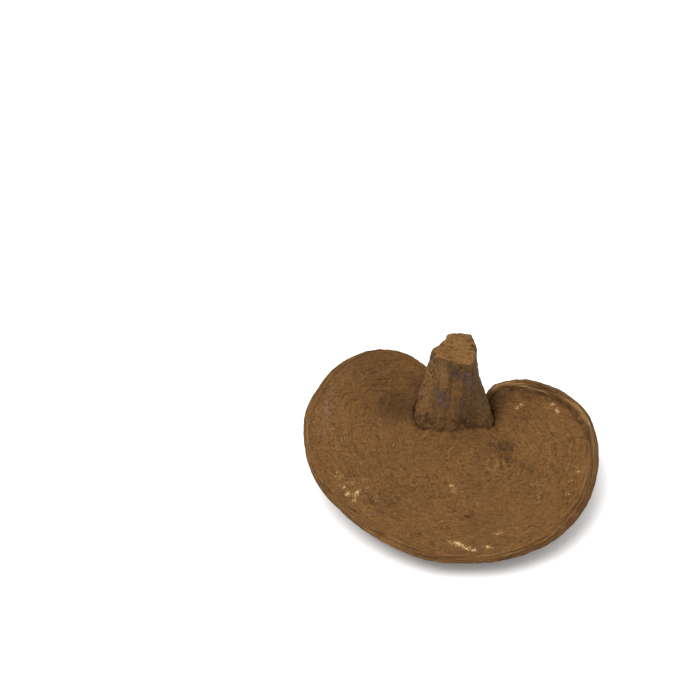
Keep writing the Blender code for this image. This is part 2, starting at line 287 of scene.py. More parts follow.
# Light and floor, in metres and watts
KEY_PLACE = (-0.5, -0.12, 1.3)
KEY_SIZE = 1.3
KEY_POWER = 21.5
FLOOR_HALF = 8.0
FLOOR_COLOUR = (0.93, 0.93, 0.93, 1.0)

# The camera looks down at the object from the front
VIEW_ELEVATION = math.radians(42.0)
VIEW_DISTANCE = 0.723
VIEW_AIM = Vector((-0.048, 0.021, 0.060))
LENS = 85.0


# ---------------- curves and noise

def bump(distance, width):
    """A soft bump that is 1 at distance 0 and fades over width."""
    return np.exp(-(np.asarray(distance) / width) ** 2)


def clipped(value):
    return np.clip(value, 0.0, 1.0)


def ease(value):
    value = clipped(value)
    return value * value * (3.0 - 2.0 * value)


def closed_curve(points, steps):
    """A smooth closed curve through the points, with the same number of steps in each span."""
    count = len(points)
    curve = []
    for index in range(count):
        before, start, end, after = (points[(index + shift) % count] for shift in (-1, 0, 1, 2))
        for step in range(steps):
            t = step / steps
            curve.append(tuple(
                0.5 * (2.0 * b + (c - a) * t + (2.0 * a - 5.0 * b + 4.0 * c - d) * t * t
                       + (3.0 * b - a - 3.0 * c + d) * t ** 3)
                for a, b, c, d in zip(before, start, end, after)))
    return np.array(curve)


def even_steps(curve, count):
    """Points at equal distances round a closed curve."""
    loop = np.vstack((curve, curve[:1]))
    travelled = np.concatenate(([0.0], np.cumsum(np.linalg.norm(np.diff(loop[:, :2], axis=0), axis=1))))
    wanted = np.arange(count) / count * travelled[-1]
    return np.stack([np.interp(wanted, travelled, loop[:, part]) for part in range(loop.shape[1])], axis=1)


def section_reach(outline, bearings):
    """Distance from the stem's axis to a closed outline, in the direction of each bearing."""
    curve = closed_curve(outline, OUTLINE_STEPS)
    turns = np.arctan2(curve[:, 1], curve[:, 0])
    order = np.argsort(turns)
    return np.interp(bearings, turns[order], np.hypot(curve[order, 0], curve[order, 1]), period=math.tau)


def mottle(places, size, seed):
    """Soft noise from about -1 to 1 at each place. Its lumps are size millimetres across."""
    shift = Vector((seed * 17.3, seed * 5.1, seed * 11.9))
    scaled = places.reshape(-1, 3) / size
    values = [noise.noise(Vector(place) + shift) for place in scaled]
    return np.array(values).reshape(places.shape[:-1])


def rough(places, layers):
    """Noise of several sizes, one on top of another."""
    return sum(height * mottle(places, size, seed) for height, size, seed in layers)


def patchy(places, size, seed, middle, swing, low, high):
    """A strength that changes from patch to patch round its middle, kept between low and high."""
    return np.clip(middle + swing * mottle(places, size, seed), low, high)


def stretched(places, wide, long, seed):
    """Noise drawn out: wide is its size along the first two directions, long along the third."""
    return mottle(places / np.array((wide, wide, long)), 1.0, seed)


def creases(places, size, seed):
    """Thin winding ridges, 1 along each ridge and 0 away from it."""
    return 1.0 - clipped(np.abs(mottle(places, size, seed)) * 5.0)


def line_set(distance, lines):
    """Soft ridges and grooves. Each has its distance, height and width."""
    return sum(rise * bump(distance - middle, width) for middle, rise, width in lines)


def round_bumps(across, along, table):
    """Soft round bumps. Each has its place, radius and strength."""
    return [strength * bump(np.hypot(across - middle_across, along - middle_along), radius)
            for middle_across, middle_along, radius, strength in table]


def soft_oval(aside, ahead, strength):
    return strength * (1.0 - ease(np.hypot(aside, ahead) * OVAL_FADE))


def line_distance(across, along, points):
    """Distance from each place to a line of straight pieces."""
    nearest = np.full(across.shape, 1000.0)
    for (start_x, start_y), (end_x, end_y) in zip(points, points[1:]):
        run = np.array((end_x - start_x, end_y - start_y))
        share = clipped(((across - start_x) * run[0] + (along - start_y) * run[1]) / (run @ run))
        gap = np.hypot(across - start_x - share * run[0], along - start_y - share * run[1])
        nearest = np.minimum(nearest, gap)
    return nearest


# ---------------- lattices

def place(across, along, lift):
    """Points given on the pore face, in the object's own frame."""
    back = along * math.cos(FACE_SLOPE) - lift * math.sin(FACE_SLOPE)
    up = along * math.sin(FACE_SLOPE) + lift * math.cos(FACE_SLOPE)
    return np.stack((across - REST_ACROSS, back - REST_BACK, FACE_HEIGHT + up), axis=-1)


def outward(places):
    """The way out of a closed lattice at each of its points. Rows run from the top pole down."""
    down = np.gradient(places, axis=0)
    onward = np.roll(places, -1, axis=1) - np.roll(places, 1, axis=1)
    normal = np.cross(down, onward)
    normal[0] = normal[1].mean(axis=0)
    normal[-1] = normal[-2].mean(axis=0)
    return normal / np.maximum(np.linalg.norm(normal, axis=-1, keepdims=True), 1e-9)


def add_object(name, data):
    item = bpy.data.objects.new(name, data)
    bpy.context.collection.objects.link(item)
    return item


def mesh_of(shape, name, material):
    mesh = bpy.data.meshes.new(name)
    shape.to_mesh(mesh)
    shape.free()
    mesh.materials.append(material)
    return mesh


def lattice_piece(name, places, marks, node, material):
    """A sphere's mesh drawn over a lattice of places, with marks for each vertex, standing for a solid."""
    rows = places.shape[0] - 1
    turns = places.shape[1]
    shape = bmesh.new()
    bmesh.ops.create_uvsphere(shape, u_segments=turns, v_segments=rows, radius=1.0)
    mesh = mesh_of(shape, name, material)
    sphere = np.empty(len(mesh.vertices) * 3)
    mesh.vertices.foreach_get("co", sphere)
    sphere = sphere.reshape(-1, 3)
    turn = np.rint(np.arctan2(sphere[:, 1], sphere[:, 0]) / math.tau * turns).astype(int) % turns
    row = np.rint(np.arccos(np.clip(sphere[:, 2], -1.0, 1.0)) / math.pi * rows).astype(int)
    mesh.vertices.foreach_set("co", (places[row, turn] * MM).ravel())
    for label, values in marks.items():
        kind, field = ("FLOAT_VECTOR", "vector") if values.ndim == 3 else ("FLOAT", "value")
        layer = mesh.attributes.new(label, kind, "POINT")
        layer.data.foreach_set(field, values[row, turn].astype(np.float32).ravel())
    mesh.shade_smooth()
    mesh.update()
    piece = add_object(name, mesh)
    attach(piece, "root")
    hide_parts(node)


# ---------------- cap

def from_foot(across, along):
    """Each place's bearing from the stem's axis, and how far outside the foot's outline it is."""
    aside = across - STEM_AXIS[0]
    behind = along - STEM_AXIS[1]
    bearing = np.arctan2(behind, aside)
    return bearing, np.hypot(aside, behind) - section_reach(FOOT_OUTLINE, bearing)


def face_height(across, along, share):
    """Height of the pore face above its own plane. share is 0 at the heart and 1 at the margin."""
    height = DISH * (share ** 2 - 1.0) + sum(round_bumps(across, along, SWELLS))
    plan = np.stack((across, along, np.full(across.shape, 3.0)), axis=-1)
    height = height + UNEVEN_HEIGHT * mottle(plan, UNEVEN_SIZE, 0.0) * (1.0 - share ** 4)
    right = ease((across - RIGHT_START[0]) / RIGHT_RUN) * ease((along - RIGHT_START[1]) / RIGHT_RUN)
    crevice = bump(from_foot(across, along)[1], CREVICE_WIDTH)
    return height - (CREVICE_DEPTH + CREVICE_RIGHT * right) * crevice


def crown_flat(height):
    """Ease heights at and under the ground into the flat patch at height 0."""
    eased = (height + REST_BLEND) ** 2 / (4.0 * REST_BLEND)
    return np.where(height > REST_BLEND, height, np.where(height < -REST_BLEND, 0.0, eased))


def cap_lattice():
    """The cap's smooth shape as rows of places, with how far each is past the top of the rolled edge."""
    edge = even_steps(closed_curve(MARGIN, MARGIN_STEPS), CAP_TURNS)
    half = edge[:, 2]
    tangent = np.roll(edge[:, :2], -1, axis=0) - np.roll(edge[:, :2], 1, axis=0)
    out = np.stack((tangent[:, 1], -tangent[:, 0]), axis=1)
    out /= np.linalg.norm(out, axis=1, keepdims=True)
    centre = edge[:, :2] - out * half[:, None]
    length = np.linalg.norm(centre - HEART, axis=1)
    power = BOWL_POWER * np.maximum(1.0, BOWL_REACH / length) ** BOWL_LATENESS
    last_turn = math.pi - np.arctan((HEART_DEPTH - 2.0 * half) * power / length)
    rim = face_height(*centre.T, np.ones(CAP_TURNS))
    rows = []
    for row in range(PORE_ROWS + 1):
        share = np.full(CAP_TURNS, row / PORE_ROWS * (1.0 + ROW_CROWDING * (1.0 - row / PORE_ROWS)))
        spot = (HEART + (centre - HEART) * share[:, None]).T
        rows.append((place(*spot, face_height(*spot, share)), (share - 1.0) * length, share))
    for row in range(1, ROLL_ROWS + 1):
        turn = last_turn * row / ROLL_ROWS
        spot = (centre + out * (half * np.sin(turn))[:, None]).T
        rows.append((place(*spot, rim - half + half * np.cos(turn)), half * turn, np.ones(CAP_TURNS)))
    under_edge = centre + out * (half * np.sin(last_turn))[:, None]
    edge_depth = half * (1.0 - np.cos(last_turn)) - rim
    for row in range(1, CRUST_ROWS + 1):
        share = np.full(CAP_TURNS, 1.0 - row / CRUST_ROWS)
        spot = (HEART + (under_edge - HEART) * share[:, None]).T
        depth = HEART_DEPTH + (edge_depth - HEART_DEPTH) * share ** power + line_set(share, RINGS)
        places = place(*spot, -depth)
        places[:, 2] = crown_flat(places[:, 2])
        rows.append((places, half * last_turn + (1.0 - share) * length, share))
    places, past_edge, shares = (np.array(part) for part in zip(*rows))
    return places, past_edge, shares, half


def plan_of(places):
    """Across and along of places in the object's own frame."""
    across = places[..., 0] + REST_ACROSS
    back = places[..., 1] + REST_BACK
    up = places[..., 2] - FACE_HEIGHT
    return across, back * math.cos(FACE_SLOPE) + up * math.sin(FACE_SLOPE)


def unrolled(bearing, past_edge):
    """Places given along the cap's growth: round the margin, and in from it."""
    turned = np.stack((np.cos(bearing), np.sin(bearing)), axis=-1) * GROWTH_RADIUS
    turned = np.broadcast_to(turned, past_edge.shape + (2,))
    return np.concatenate((turned, past_edge[..., None]), axis=-1)


def rim_lines(places, past_edge, thick):
    """Growth lines that follow the margin. The right lobe's thick rim has coarser ones."""
    sway = rough(places, EDGE_SWAY)
    fine = line_set(past_edge + sway, THIN_LINES) * patchy(places, 8.0, 6.0, 1.0, 1.5, 0.2, 1.8)
    coarse = line_set(past_edge + 1.4 * sway, THICK_LINES) * patchy(places, 7.0, 7.0, 1.0, 1.3, 0.3, 1.8)
    return fine * (1.0 - thick) + coarse * thick


def crest_gap(places, across, along, past_edge):
    """How far each place is inside the crest of the thick rim."""
    bearing = np.arctan2(along - HEART[1], across - HEART[0])
    bearings, distances = zip(*CREST)
    return np.interp(bearing, bearings, distances) - past_edge + rough(places, CREST_SWAY)


def rim_wall(places, across, inside, thick):
    """The lip along the thick rim's crest, and the drop from it to the pore face inside."""
    uneven = 1.0 + 0.6 * mottle(places, 12.0, 26.0)
    drop = WALL_DROP * ease((across - 18.0) / 16.0) * uneven
    drop = drop * ease(inside / WALL_RUN) * np.exp(-np.maximum(inside - WALL_RUN, 0.0) / 6.0)
    lip = LIP_HEIGHT * bump(inside, LIP_WIDTH) * uneven
    return (lip + bump(inside - 1.6, 2.2) * rough(places, WALL_ROUGHNESS) - drop) * thick


def spots(across, along, marks):
    """The strongest of several soft oval marks at each place."""
    ovals = []
    for spot_across, spot_along, wide, long, lean, strength in marks:
        aside = across - spot_across
        ovals.append(soft_oval(aside / wide, (along - spot_along - lean * aside) / long, strength))
    return np.max(ovals, axis=0)


def crack_mark(places, across, along):
    """Hairline cracks that wander a little off their points."""
    sway_across = across + mottle(places, 3.8, 8.0)
    sway_along = along + mottle(places, 3.8, 9.0)
    lines = [strength * bump(line_distance(sway_across, sway_along, points), CRACK_WIDTH)
             for strength, points in CRACKS]
    return np.max(lines, axis=0) * patchy(places, 5.0, 10.0, 0.8, 0.8, 0.2, 1.0)


def knob_relief(places, across, along):
    """A low knob, a moat round it and the broken folds of powder outside the moat."""
    away = np.hypot(across - KNOB[0], (along - KNOB[1]) * 0.85) + mottle(places, 2.8, 27.0)
    broken = patchy(places, 4.0, 28.0, 0.6, 1.8, 0.0, 1.3)
    knob = 0.55 * bump(away, KNOB_RADIUS * 0.8)
    moat = -0.2 * bump(away - KNOB_RADIUS * 1.1, 0.55) * broken
    fold = 0.28 * bump(away - KNOB_RADIUS * 1.7, 0.7) * broken
    return knob + moat + fold


def crust_rings(places, growth, shares):
    """Uneven growth rings of the crust."""
    ring = shares + rough(places, RING_WANDER)
    rings = 0.38 * np.sin(ring * 46.0 + 1.5 * mottle(places, 30.0, 13.0))
    rings += 0.18 * np.sin(ring * 118.0 + 2.0 * mottle(places, 14.0, 14.0))
    rings += 0.16 * stretched(growth, 9.0, 1.4, 60.0)
    return rings * ease((shares - 0.22) / 0.35)


def foot_fill(bearing, away):
    """Pore flesh that has grown up against the front of the stem's foot and closes the crevice."""
    front = ease((bearing + 2.46) / 0.25) * ease((-0.62 - bearing) / 0.3)
    return front * bump(away, CREVICE_WIDTH)


def seam_shade(places, away):
    """Painted shade in the thin dark seam where the stem's foot goes into the pore flesh."""
    return bump(away + 0.9, 0.9) * patchy(places, 1.8, 69.0, 0.8, 1.4, 0.1, 1.2)


def narrow_slit(bearing, away):
    """Fills the crevice's wide shoulders, which leaves a narrow slit with a steep flank."""
    right = ease((bearing + 0.75) / 0.35) * ease((0.9 - bearing) / 0.3)
    depth = CREVICE_DEPTH + CREVICE_RIGHT * right
    filled = (0.85 - 0.25 * right) * depth * (bump(away, CREVICE_WIDTH) - bump(away, 1.0 + 0.5 * right))
    return np.maximum(filled, 0.0) * ease(away / 1.4)


def pore_wrinkles(places, growth, across, along):
    """Wrinkles, ripples and folds of the powdery face. They crowd in a rough spot and by the foot."""
    patches = ease(0.5 + 1.8 * mottle(places, 15.0, 15.0))
    rough_spot = bump(np.hypot(across - ROUGH_SPOT[0], (along - ROUGH_SPOT[1]) * 0.9), ROUGH_SPOT[2])
    by_foot = bump(np.hypot(across - BY_FOOT[0], along - BY_FOOT[1]), BY_FOOT[2])
    ripples = (0.1 + 0.24 * patches) * stretched(growth, 5.0, 1.2, 61.0)
    folds = rough_spot * (0.55 * creases(places, 4.2, 67.0) - 0.2)
    folds = folds * patchy(places, 5.0, 68.0, 0.7, 1.2, 0.0, 1.4)
    wrinkles = 1.2 * creases(places, 3.4, 16.0) - 0.5 + 0.9 * mottle(places, 1.2, 23.0)
    return ripples + folds + wrinkles * (0.14 * patches + 0.2 * rough_spot + 0.084 * by_foot)


def edge_flakes(places, past_edge, across, along, thick):
    """Loose flakes on the thick rim and along the front of the margin."""
    front = bump(past_edge - 1.8, 1.6) * bump(across - 22.0, 12.0) * ease((-20.0 - along) / 10.0)
    flakes = 0.42 * mottle(places, 1.7, 17.0) + 0.35 * (creases(places, 3.0, 18.0) - 0.3)
    return flakes * bump(past_edge - 3.0, 3.2) * (0.5 * thick + 0.9 * front)


def crust_pits(places):
    """Fine ridges and pits of the crust."""
    return 0.16 * creases(places, 7.0, 20.0) - 0.5 * clipped(mottle(places, 1.9, 19.0) - 0.28)


def tongue(across, along):
    away = np.hypot((across - TONGUE[0]) / TONGUE_STRETCH, along - TONGUE[1])
    return TONGUE_HEIGHT * bump(away, 1.0)


def cap_shade(places, row, across, along, inside, thick, pore):
    """Painted shade: darker in the hollows, and at the foot of the wall inside the thick rim."""
    hollows = np.max(round_bumps(across, along, HOLLOW_SHADES), axis=0) * (row < PORE_ROWS + ROLL_ROWS // 2)
    # painted shade at the foot of the wall inside the thick rim's crest
    wall = bump(inside - 2.3, 2.1) * thick * patchy(places, 2.4, 63.0, 0.75, 1.4, 0.1, 1.3)
    return np.maximum(hollows, wall * pore)


def build_cap(material):
    places, past_edge, shares, half = cap_lattice()
    across, along = plan_of(places)
    row = np.arange(places.shape[0])[:, None]
    bearing = np.arctan2(along[PORE_ROWS] - HEART[1], across[PORE_ROWS] - HEART[0])
    growth = unrolled(bearing, past_edge)
    pore = 1.0 - ease((past_edge - half * 0.4) / (half * 1.2))
    crust = ease((row - PORE_ROWS - ROLL_ROWS * 0.55) / (ROLL_ROWS * 0.5)) * np.ones(CAP_TURNS)
    thick = ease((half - THICK_FROM) / THICK_RUN) * np.ones(past_edge.shape)
    inside = crest_gap(places, across, along, past_edge)
    scuffs = spots(across, along, SCUFFS) * pore * patchy(places, 1.6, 29.0, 1.0, 1.1, 0.3, 1.5)
    cracks = crack_mark(places, across, along) * pore
    rings = crust_rings(places, growth, shares) * crust
    foot_bearing, foot_gap = from_foot(across, along)
    foot = bump(foot_gap, CREVICE_WIDTH) * pore
    filled = foot_fill(foot_bearing, foot_gap) * pore

    lumps = rough(places, PORE_LUMPS)
    fine = (pore_wrinkles(places, growth, across, along) + knob_relief(places, across, along)) * pore
    fine += rim_lines(places, past_edge, thick) + edge_flakes(places, past_edge, across, along, thick)
    fine += rings + crust_pits(places) * crust + foot * rough(places, CREVICE_ROUGHNESS)
    fine += tongue(across, along) - SCUFF_DEPTH * clipped(scuffs) - CRACK_DEPTH * cracks
    broad = rim_wall(places, across, inside, thick) + CREVICE_DEPTH * 0.95 * filled
    broad += (narrow_slit(foot_bearing, foot_gap) + rough(places, PORE_SWELLS)) * pore
    lift = (lumps + fine + broad) * np.minimum(row / POLE_ROWS, 1.0)
    final = places + outward(places) * lift[..., None]
    final[..., 2] = np.maximum(final[..., 2], 0.0)

    # painted shade in the hollows, under the rim wall and in the crevice round the foot
    dark = np.maximum(cap_shade(places, row, across, along, inside, thick, pore), 0.8 * (foot - filled))
    rim_top = clipped(thick * 1.2)
    marks = {
        "growth": growth,
        "worn": scuffs,
        # low relief takes painted shade and high relief a painted highlight
        "relief_shade_and_highlight": clipped(0.5 + 0.9 * (0.4 * lumps + fine)),
        # painted shade in the hairline cracks
        "crack": cracks,
        "bloom": spots(across, along, BLOOMS) * pore,
        "crust": crust,
        # painted shade, with the seam round the foot
        "recess_shade": np.maximum(dark, seam_shade(places, foot_gap) * pore),
        "rim": ease((past_edge + 3.0) / 3.0) * (1.0 - crust),
        # pale strands on the crest, partly a painted highlight
        "crest": bump(inside + 0.3, 0.8) * rim_top * (1.0 - crust),
        "strands": ease(0.8 - inside) * bump(np.maximum(-inside, 0.0), 8.0) * rim_top,
        "ring": clipped(0.5 + rings),
    }
    lattice_piece("cap_body", final, marks, "cap", material)


# ---------------- stem

def turn_gap(bearings, bearing):
    """How far each bearing is from another, the short way round."""
    return (bearings - bearing + math.pi) % math.tau - math.pi


def strips(bearings, table):
    """Soft strips up the stem. Each has its bearing, strength and half angle."""
    return sum(strength * bump(turn_gap(bearings, bearing), width) for bearing, strength, width in table)


def stem_lattice():
    """The stem's shape as rows of places, with each place's bearing and its share of the height."""
    bearings = np.arange(STEM_TURNS) / STEM_TURNS * math.tau
    bearings = (bearings + math.pi) % math.tau - math.pi
    cut = section_reach(CUT_OUTLINE, bearings)
    foot = section_reach(FOOT_OUTLINE, bearings)
    axis = place(*(np.array(value) for value in (*STEM_AXIS, 0.0)))
    rows = CUT_ROWS + SIDE_ROWS + FOOT_ROWS
    row = np.arange(rows + 1)
    share = clipped(1.0 - (row - CUT_ROWS) / SIDE_ROWS)
    highs, wides = zip(*reversed(SPREAD))
    side, sooner, width = LEFT_SIDE
    spread = np.interp(share, highs, wides)[:, None]
    spread = spread ** (1.0 - sooner * bump(turn_gap(bearings, side), width))
    inset = clipped(np.minimum(row / CUT_ROWS, (rows - row) / FOOT_ROWS))[:, None]
    reach = (cut + (foot - cut) * spread - FLUTE_SHARE * strips(bearings, FLUTES)) * inset
    rise = (CUT_RISE + FOOT_SINK) * share - FOOT_SINK
    places = axis + np.stack((reach * np.cos(bearings), reach * np.sin(bearings),
                              np.broadcast_to(rise[:, None], reach.shape)), axis=-1)
    return places, bearings, share[:, None], inset, axis


def stem_patches(bearings, height, patches):
    """The strongest of several soft oval patches on the stem at each place."""
    return np.max([soft_oval(turn_gap(bearings, bearing) / wide, (height - level) / tall, strength)
                   for bearing, level, wide, tall, strength in patches], axis=0)


def stem_spot(bearings, height, spot):
    """A soft spot on the stem: bearing, height, half angle and half height."""
    bearing, level, wide, tall = spot
    return bump(turn_gap(bearings, bearing), wide) * bump(height - level, tall)


def nick_mark(places, bearings, height):
    """Nicks in the front of the stem, close under its cut."""
    marked = ease(1.6 * stem_spot(bearings, height, NICKED))
    marked = marked * clipped(2.0 * creases(places, 3.4, 48.0) - 0.7)
    return marked * patchy(places, 2.2, 66.0, 0.6, 1.6, 0.0, 1.0)


def flaked_relief(from_axis, flaky):
    """Bark that stands up in strips, with gaps between them."""
    flaking = stretched(from_axis, 1.5, 4.5, 35.0) + 0.5 * stretched(from_axis, 0.7, 1.9, 50.0)
    raised = 1.8 * np.clip(flaking - 0.02, 0.0, 0.35)
    return flaky * (raised - 1.2 * np.clip(-0.2 - flaking, 0.0, 0.5))


def torn_relief(places):
    """Torn fibres of the cut end. They run across it, a little aslant."""
    streaks = places * np.array((0.34, 1.2, 0.3))
    streaks[..., 1] += 0.55 * mottle(places, 6.0, 40.0) + 0.35 * places[..., 0]
    torn = 0.62 * mottle(streaks, 1.0, 41.0) + 0.26 * mottle(streaks, 0.42, 42.0)
    return torn + rough(places, CUT_ROUGHNESS) - 0.5 * clipped(mottle(streaks, 0.7, 45.0) - 0.2)


def crumb_mark(places, from_axis, bearings):
    """Dark crumb grains that cling to the front of the foot, and painted shade mixed with crumb grains along
    its seam with the cap.
    """
    height = from_axis[..., 2]
    front = 1.3 * stem_spot(bearings, height, CRUMBS) * patchy(places, 1.1, 73.0, 0.55, 1.8, 0.0, 1.0)
    above = height - from_axis[..., 1] * math.tan(FACE_SLOPE)
    # painted shade along the seam with the cap
    seam = 0.8 * bump(above + 1.6, 1.0) * patchy(places, 1.6, 70.0, 0.7, 1.5, 0.0, 1.0)
    return np.maximum(front, seam)


def build_stem(material):
    places, bearings, share, inset, axis = stem_lattice()
    row = np.arange(places.shape[0])[:, None]
    on_side = ease((row - CUT_ROWS + 1.0) / 3.0) * np.ones(STEM_TURNS)
    on_cut = 1.0 - on_side
    from_axis = places - axis
    height = from_axis[..., 2]
    turned = np.broadcast_to(bearings, height.shape)

    flaky = strips(turned, FLAKY_STRIPS)
    low = ease((5.0 - height) / 6.0)
    slit = 0.8 * stem_spot(turned, height, SLIT)
    nicks = nick_mark(places, turned, height)
    grain = 0.26 * stretched(from_axis, 2.2, 14.0, 31.0) + 0.16 * stretched(from_axis, 0.9, 6.0, 32.0)
    side = grain + rough(places, STEM_KNOBS) + flaked_relief(from_axis, flaky)
    side += low * rough(places, FOOT_LUMPS) - 0.9 * slit - 0.45 * nicks
    edge = bump(share - 1.0, 0.02) * on_side
    side += edge * (rough(places, EDGE_CHIPS) - 0.2)
    side = side * on_side * np.where(share > 0.0, 1.0, 0.0)

    torn = torn_relief(places)
    gouges = np.max(round_bumps(from_axis[..., 0], from_axis[..., 1], GOUGES), axis=0)
    rounding = 0.6 * ease((inset - 0.88) / 0.12)
    cut = (torn - rounding - GOUGE_DEPTH * gouges) * on_cut
    final = places + outward(places) * side[..., None]
    final[..., 2] += cut + (torn - 0.6 - GOUGE_DEPTH * gouges) * edge * 0.8
    marks = {
        "cut": clipped(on_cut + edge * 0.6),
        # low relief takes painted shade and high relief a painted highlight
        "relief_shade_and_highlight": clipped(0.5 + 0.55 * (side + 1.2 * cut)),
        "lacquer": stem_patches(turned, height, LACQUER) * on_side,
        "pale": stem_patches(turned, height, PALE_POWDER) * on_side,
        "dark": stem_patches(turned, height, DARK_POWDER) * on_side,
        # painted shade: darker towards the foot, where it meets the cap
        "foot": low * on_side,
        # dark crumb grains, with painted shade along the seam with the cap
        "crumbs_and_seam_shade": crumb_mark(places, from_axis, turned) * on_side,
        "flaky": clipped(flaky) * on_side,
        # painted shade in the slit, the nicks and the gouges
        "slit": clipped(slit + 0.8 * nicks) * on_side + gouges * (on_cut + edge),
        "streak": clipped(0.5 + 0.9 * stretched(from_axis, 1.7, 18.0, 49.0)),
    }
    lattice_piece("stem_body", final, marks, "stem", material)


# ---------------- materials

def add_node(tree, kind, inputs, **settings):
    """Adds a node and gives its outputs. Each input is a socket to join or a plain value."""
    made = tree.nodes.new("ShaderNode" + kind)
    for name, value in settings.items():
        setattr(made, name, value)
    for name, value in inputs.items():
        if isinstance(value, bpy.types.NodeSocket):
            tree.links.new(value, made.inputs[name])
        else:
            made.inputs[name].default_value = value
    return made.outputs


def value_math(tree, operation, first, second=0.0):
    return add_node(tree, "Math", {0: first, 1: second}, operation=operation)[0]


def times(tree, first, second):
    return value_math(tree, "MULTIPLY", first, second)


def plus(tree, first, second):
    return value_math(tree, "ADD", first, second)


def blend(tree, amount, first, second):
    """Mixes two colours. Each may be a socket or a plain colour."""
    first, second = ((*colour, 1.0) if isinstance(colour, tuple) else colour for colour in (first, second))
    return add_node(tree, "Mix", {0: amount, 6: first, 7: second}, data_type="RGBA")[2]


def mark(tree, name):
    """A mark that the mesh carries, as a value."""
    return add_node(tree, "Attribute", {}, attribute_name=name)["Fac"]


def spread_of(tree, value, low, high):
    """Stretches a value so that low becomes 0 and high becomes 1."""
    inputs = {"Value": value, "From Min": low, "From Max": high}
    return add_node(tree, "MapRange", inputs, interpolation_type="SMOOTHSTEP")["Result"]


def noise_of(tree, where, scale, detail, roughness):
    inputs = {"Vector": where, "Scale": scale, "Detail": detail, "Roughness": roughness}
    return add_node(tree, "TexNoise", inputs)[0]


def squeezed(tree, where, scale):
    return add_node(tree, "Mapping", {"Vector": where, "Scale": scale})["Vector"]


def noise_at(tree, where, scale, detail, roughness, stretch=(1.0, 1.0, 1.0)):
    """Soft noise in features of 1/scale millimetres, drawn out where a stretch is under 1."""
    return noise_of(tree, squeezed(tree, where, stretch), scale, detail, roughness)


def growth_place(tree, along_margin, in_from_margin):
    """The growth vector that the mesh carries, squeezed along the margin and in from it."""
    carried = add_node(tree, "Attribute", {}, attribute_name="growth")["Vector"]
    return squeezed(tree, carried, (along_margin, along_margin, in_from_margin))


def growth_noise(tree, along_margin, in_from_margin, detail, roughness):
    return noise_of(tree, growth_place(tree, along_margin, in_from_margin), 1.0, detail, roughness)


def millimetres(tree):
    """Object coordinates in millimetres."""
    coordinates = add_node(tree, "TexCoord", {})["Object"]
    return add_node(tree, "VectorMath", {0: coordinates, "Scale": 1.0 / MM}, operation="SCALE")["Vector"]


def begin_group(name, vectors, values):
    group = bpy.data.node_groups.new(name, "ShaderNodeTree")
    for names, kind in ((vectors, "NodeSocketVector"), (values, "NodeSocketFloat")):
        for socket_name in names:
            group.interface.new_socket(name=socket_name, in_out="INPUT", socket_type=kind)
    return group, group.nodes.new("NodeGroupInput").outputs


def end_group(group, results):
    leave = group.nodes.new("NodeGroupOutput")
    for name, value in results.items():
        group.interface.new_socket(name=name, in_out="OUTPUT", socket_type="NodeSocketFloat")
        group.links.new(value, leave.inputs[name])
    return group


def use_group(tree, group, **values):
    return add_node(tree, "Group", values, node_tree=group)


def powder_group():
    """Dry powder: tone is its darker and lighter grain from 0 to 1, height is its fine relief."""
    group, entry = begin_group("powder", ["Place"], ["Grain"])
    where = entry["Place"]
    broad = noise_at(group, where, 0.055, 3.0, 0.55)
    clumps = noise_at(group, where, 0.75, 3.0, 0.6)
    grains = noise_at(group, where, 2.5, 5.0, 0.74)
    loose = noise_at(group, where, 1.25, 2.0, 0.5, (1.0, 1.3, 1.0))
    tone = plus(group, times(group, clumps, 0.36), times(group, grains, 0.64))
    height = plus(group, times(group, clumps, 0.9), times(group, grains, entry["Grain"]))
    pits = spread_of(group, loose, 0.36, 0.25)
    return end_group(group, {
        "Tone": spread_of(group, tone, 0.38, 0.62),
        "Height": value_math(group, "SUBTRACT", height, times(group, pits, 0.5)),
        "Broad": spread_of(group, broad, 0.35, 0.65),
        "Specks": spread_of(group, loose, 0.66, 0.76),
        "Pits": pits,
    })


def wrinkle_group():
    """Fine winding wrinkles in the powder, in patches. The line mask is 1 along each wrinkle and takes
    painted shade, and the crest mask beside it takes a painted highlight.
    """
    group, entry = begin_group("wrinkles", ["Place", "Growth"], [])
    bend = add_node(group, "TexNoise", {"Vector": entry["Place"], "Scale": 0.16, "Detail": 3.0})["Color"]
    inputs = {0: bend, 1: (2.0, 2.0, 2.0), 2: entry["Growth"]}
    bent = add_node(group, "VectorMath", inputs, operation="MULTIPLY_ADD")["Vector"]
    folds = noise_of(group, bent, 1.0, 2.5, 0.5)
    patches = spread_of(group, noise_of(group, entry["Place"], 0.1, 2.0, 0.5), 0.34, 0.54)
    results = {}
    for name, middle in (("Shaded Lines", 0.5), ("Highlit Crests", 0.545)):
        away = value_math(group, "ABSOLUTE", value_math(group, "SUBTRACT", folds, middle))
        results[name] = times(group, spread_of(group, away, 0.030, 0.004), patches)
    return end_group(group, results)


def fleck_group():
    """Breaks a soft mark into small flecks, as where powder is rubbed off the high grains."""
    group, entry = begin_group("flecks", ["Place"], ["Mark", "Size"])
    grains = noise_of(group, entry["Place"], entry["Size"], 3.0, 0.65)
    raised = plus(group, grains, times(group, entry["Mark"], 0.185))
    faded = spread_of(group, entry["Mark"], 0.02, 0.3)
    return end_group(group, {
        "Flecks": times(group, spread_of(group, raised, 0.66, 0.73), faded),
        "Halo": times(group, spread_of(group, raised, 0.46, 0.8), faded),
    })


def new_material(name, roughness, specular):
    material = bpy.data.materials.new(name)
    material.use_nodes = True
    tree = material.node_tree
    shader = tree.nodes["Principled BSDF"]
    shader.inputs["Roughness"].default_value = roughness
    shader.inputs["Specular IOR Level"].default_value = specular
    return material, tree, shader


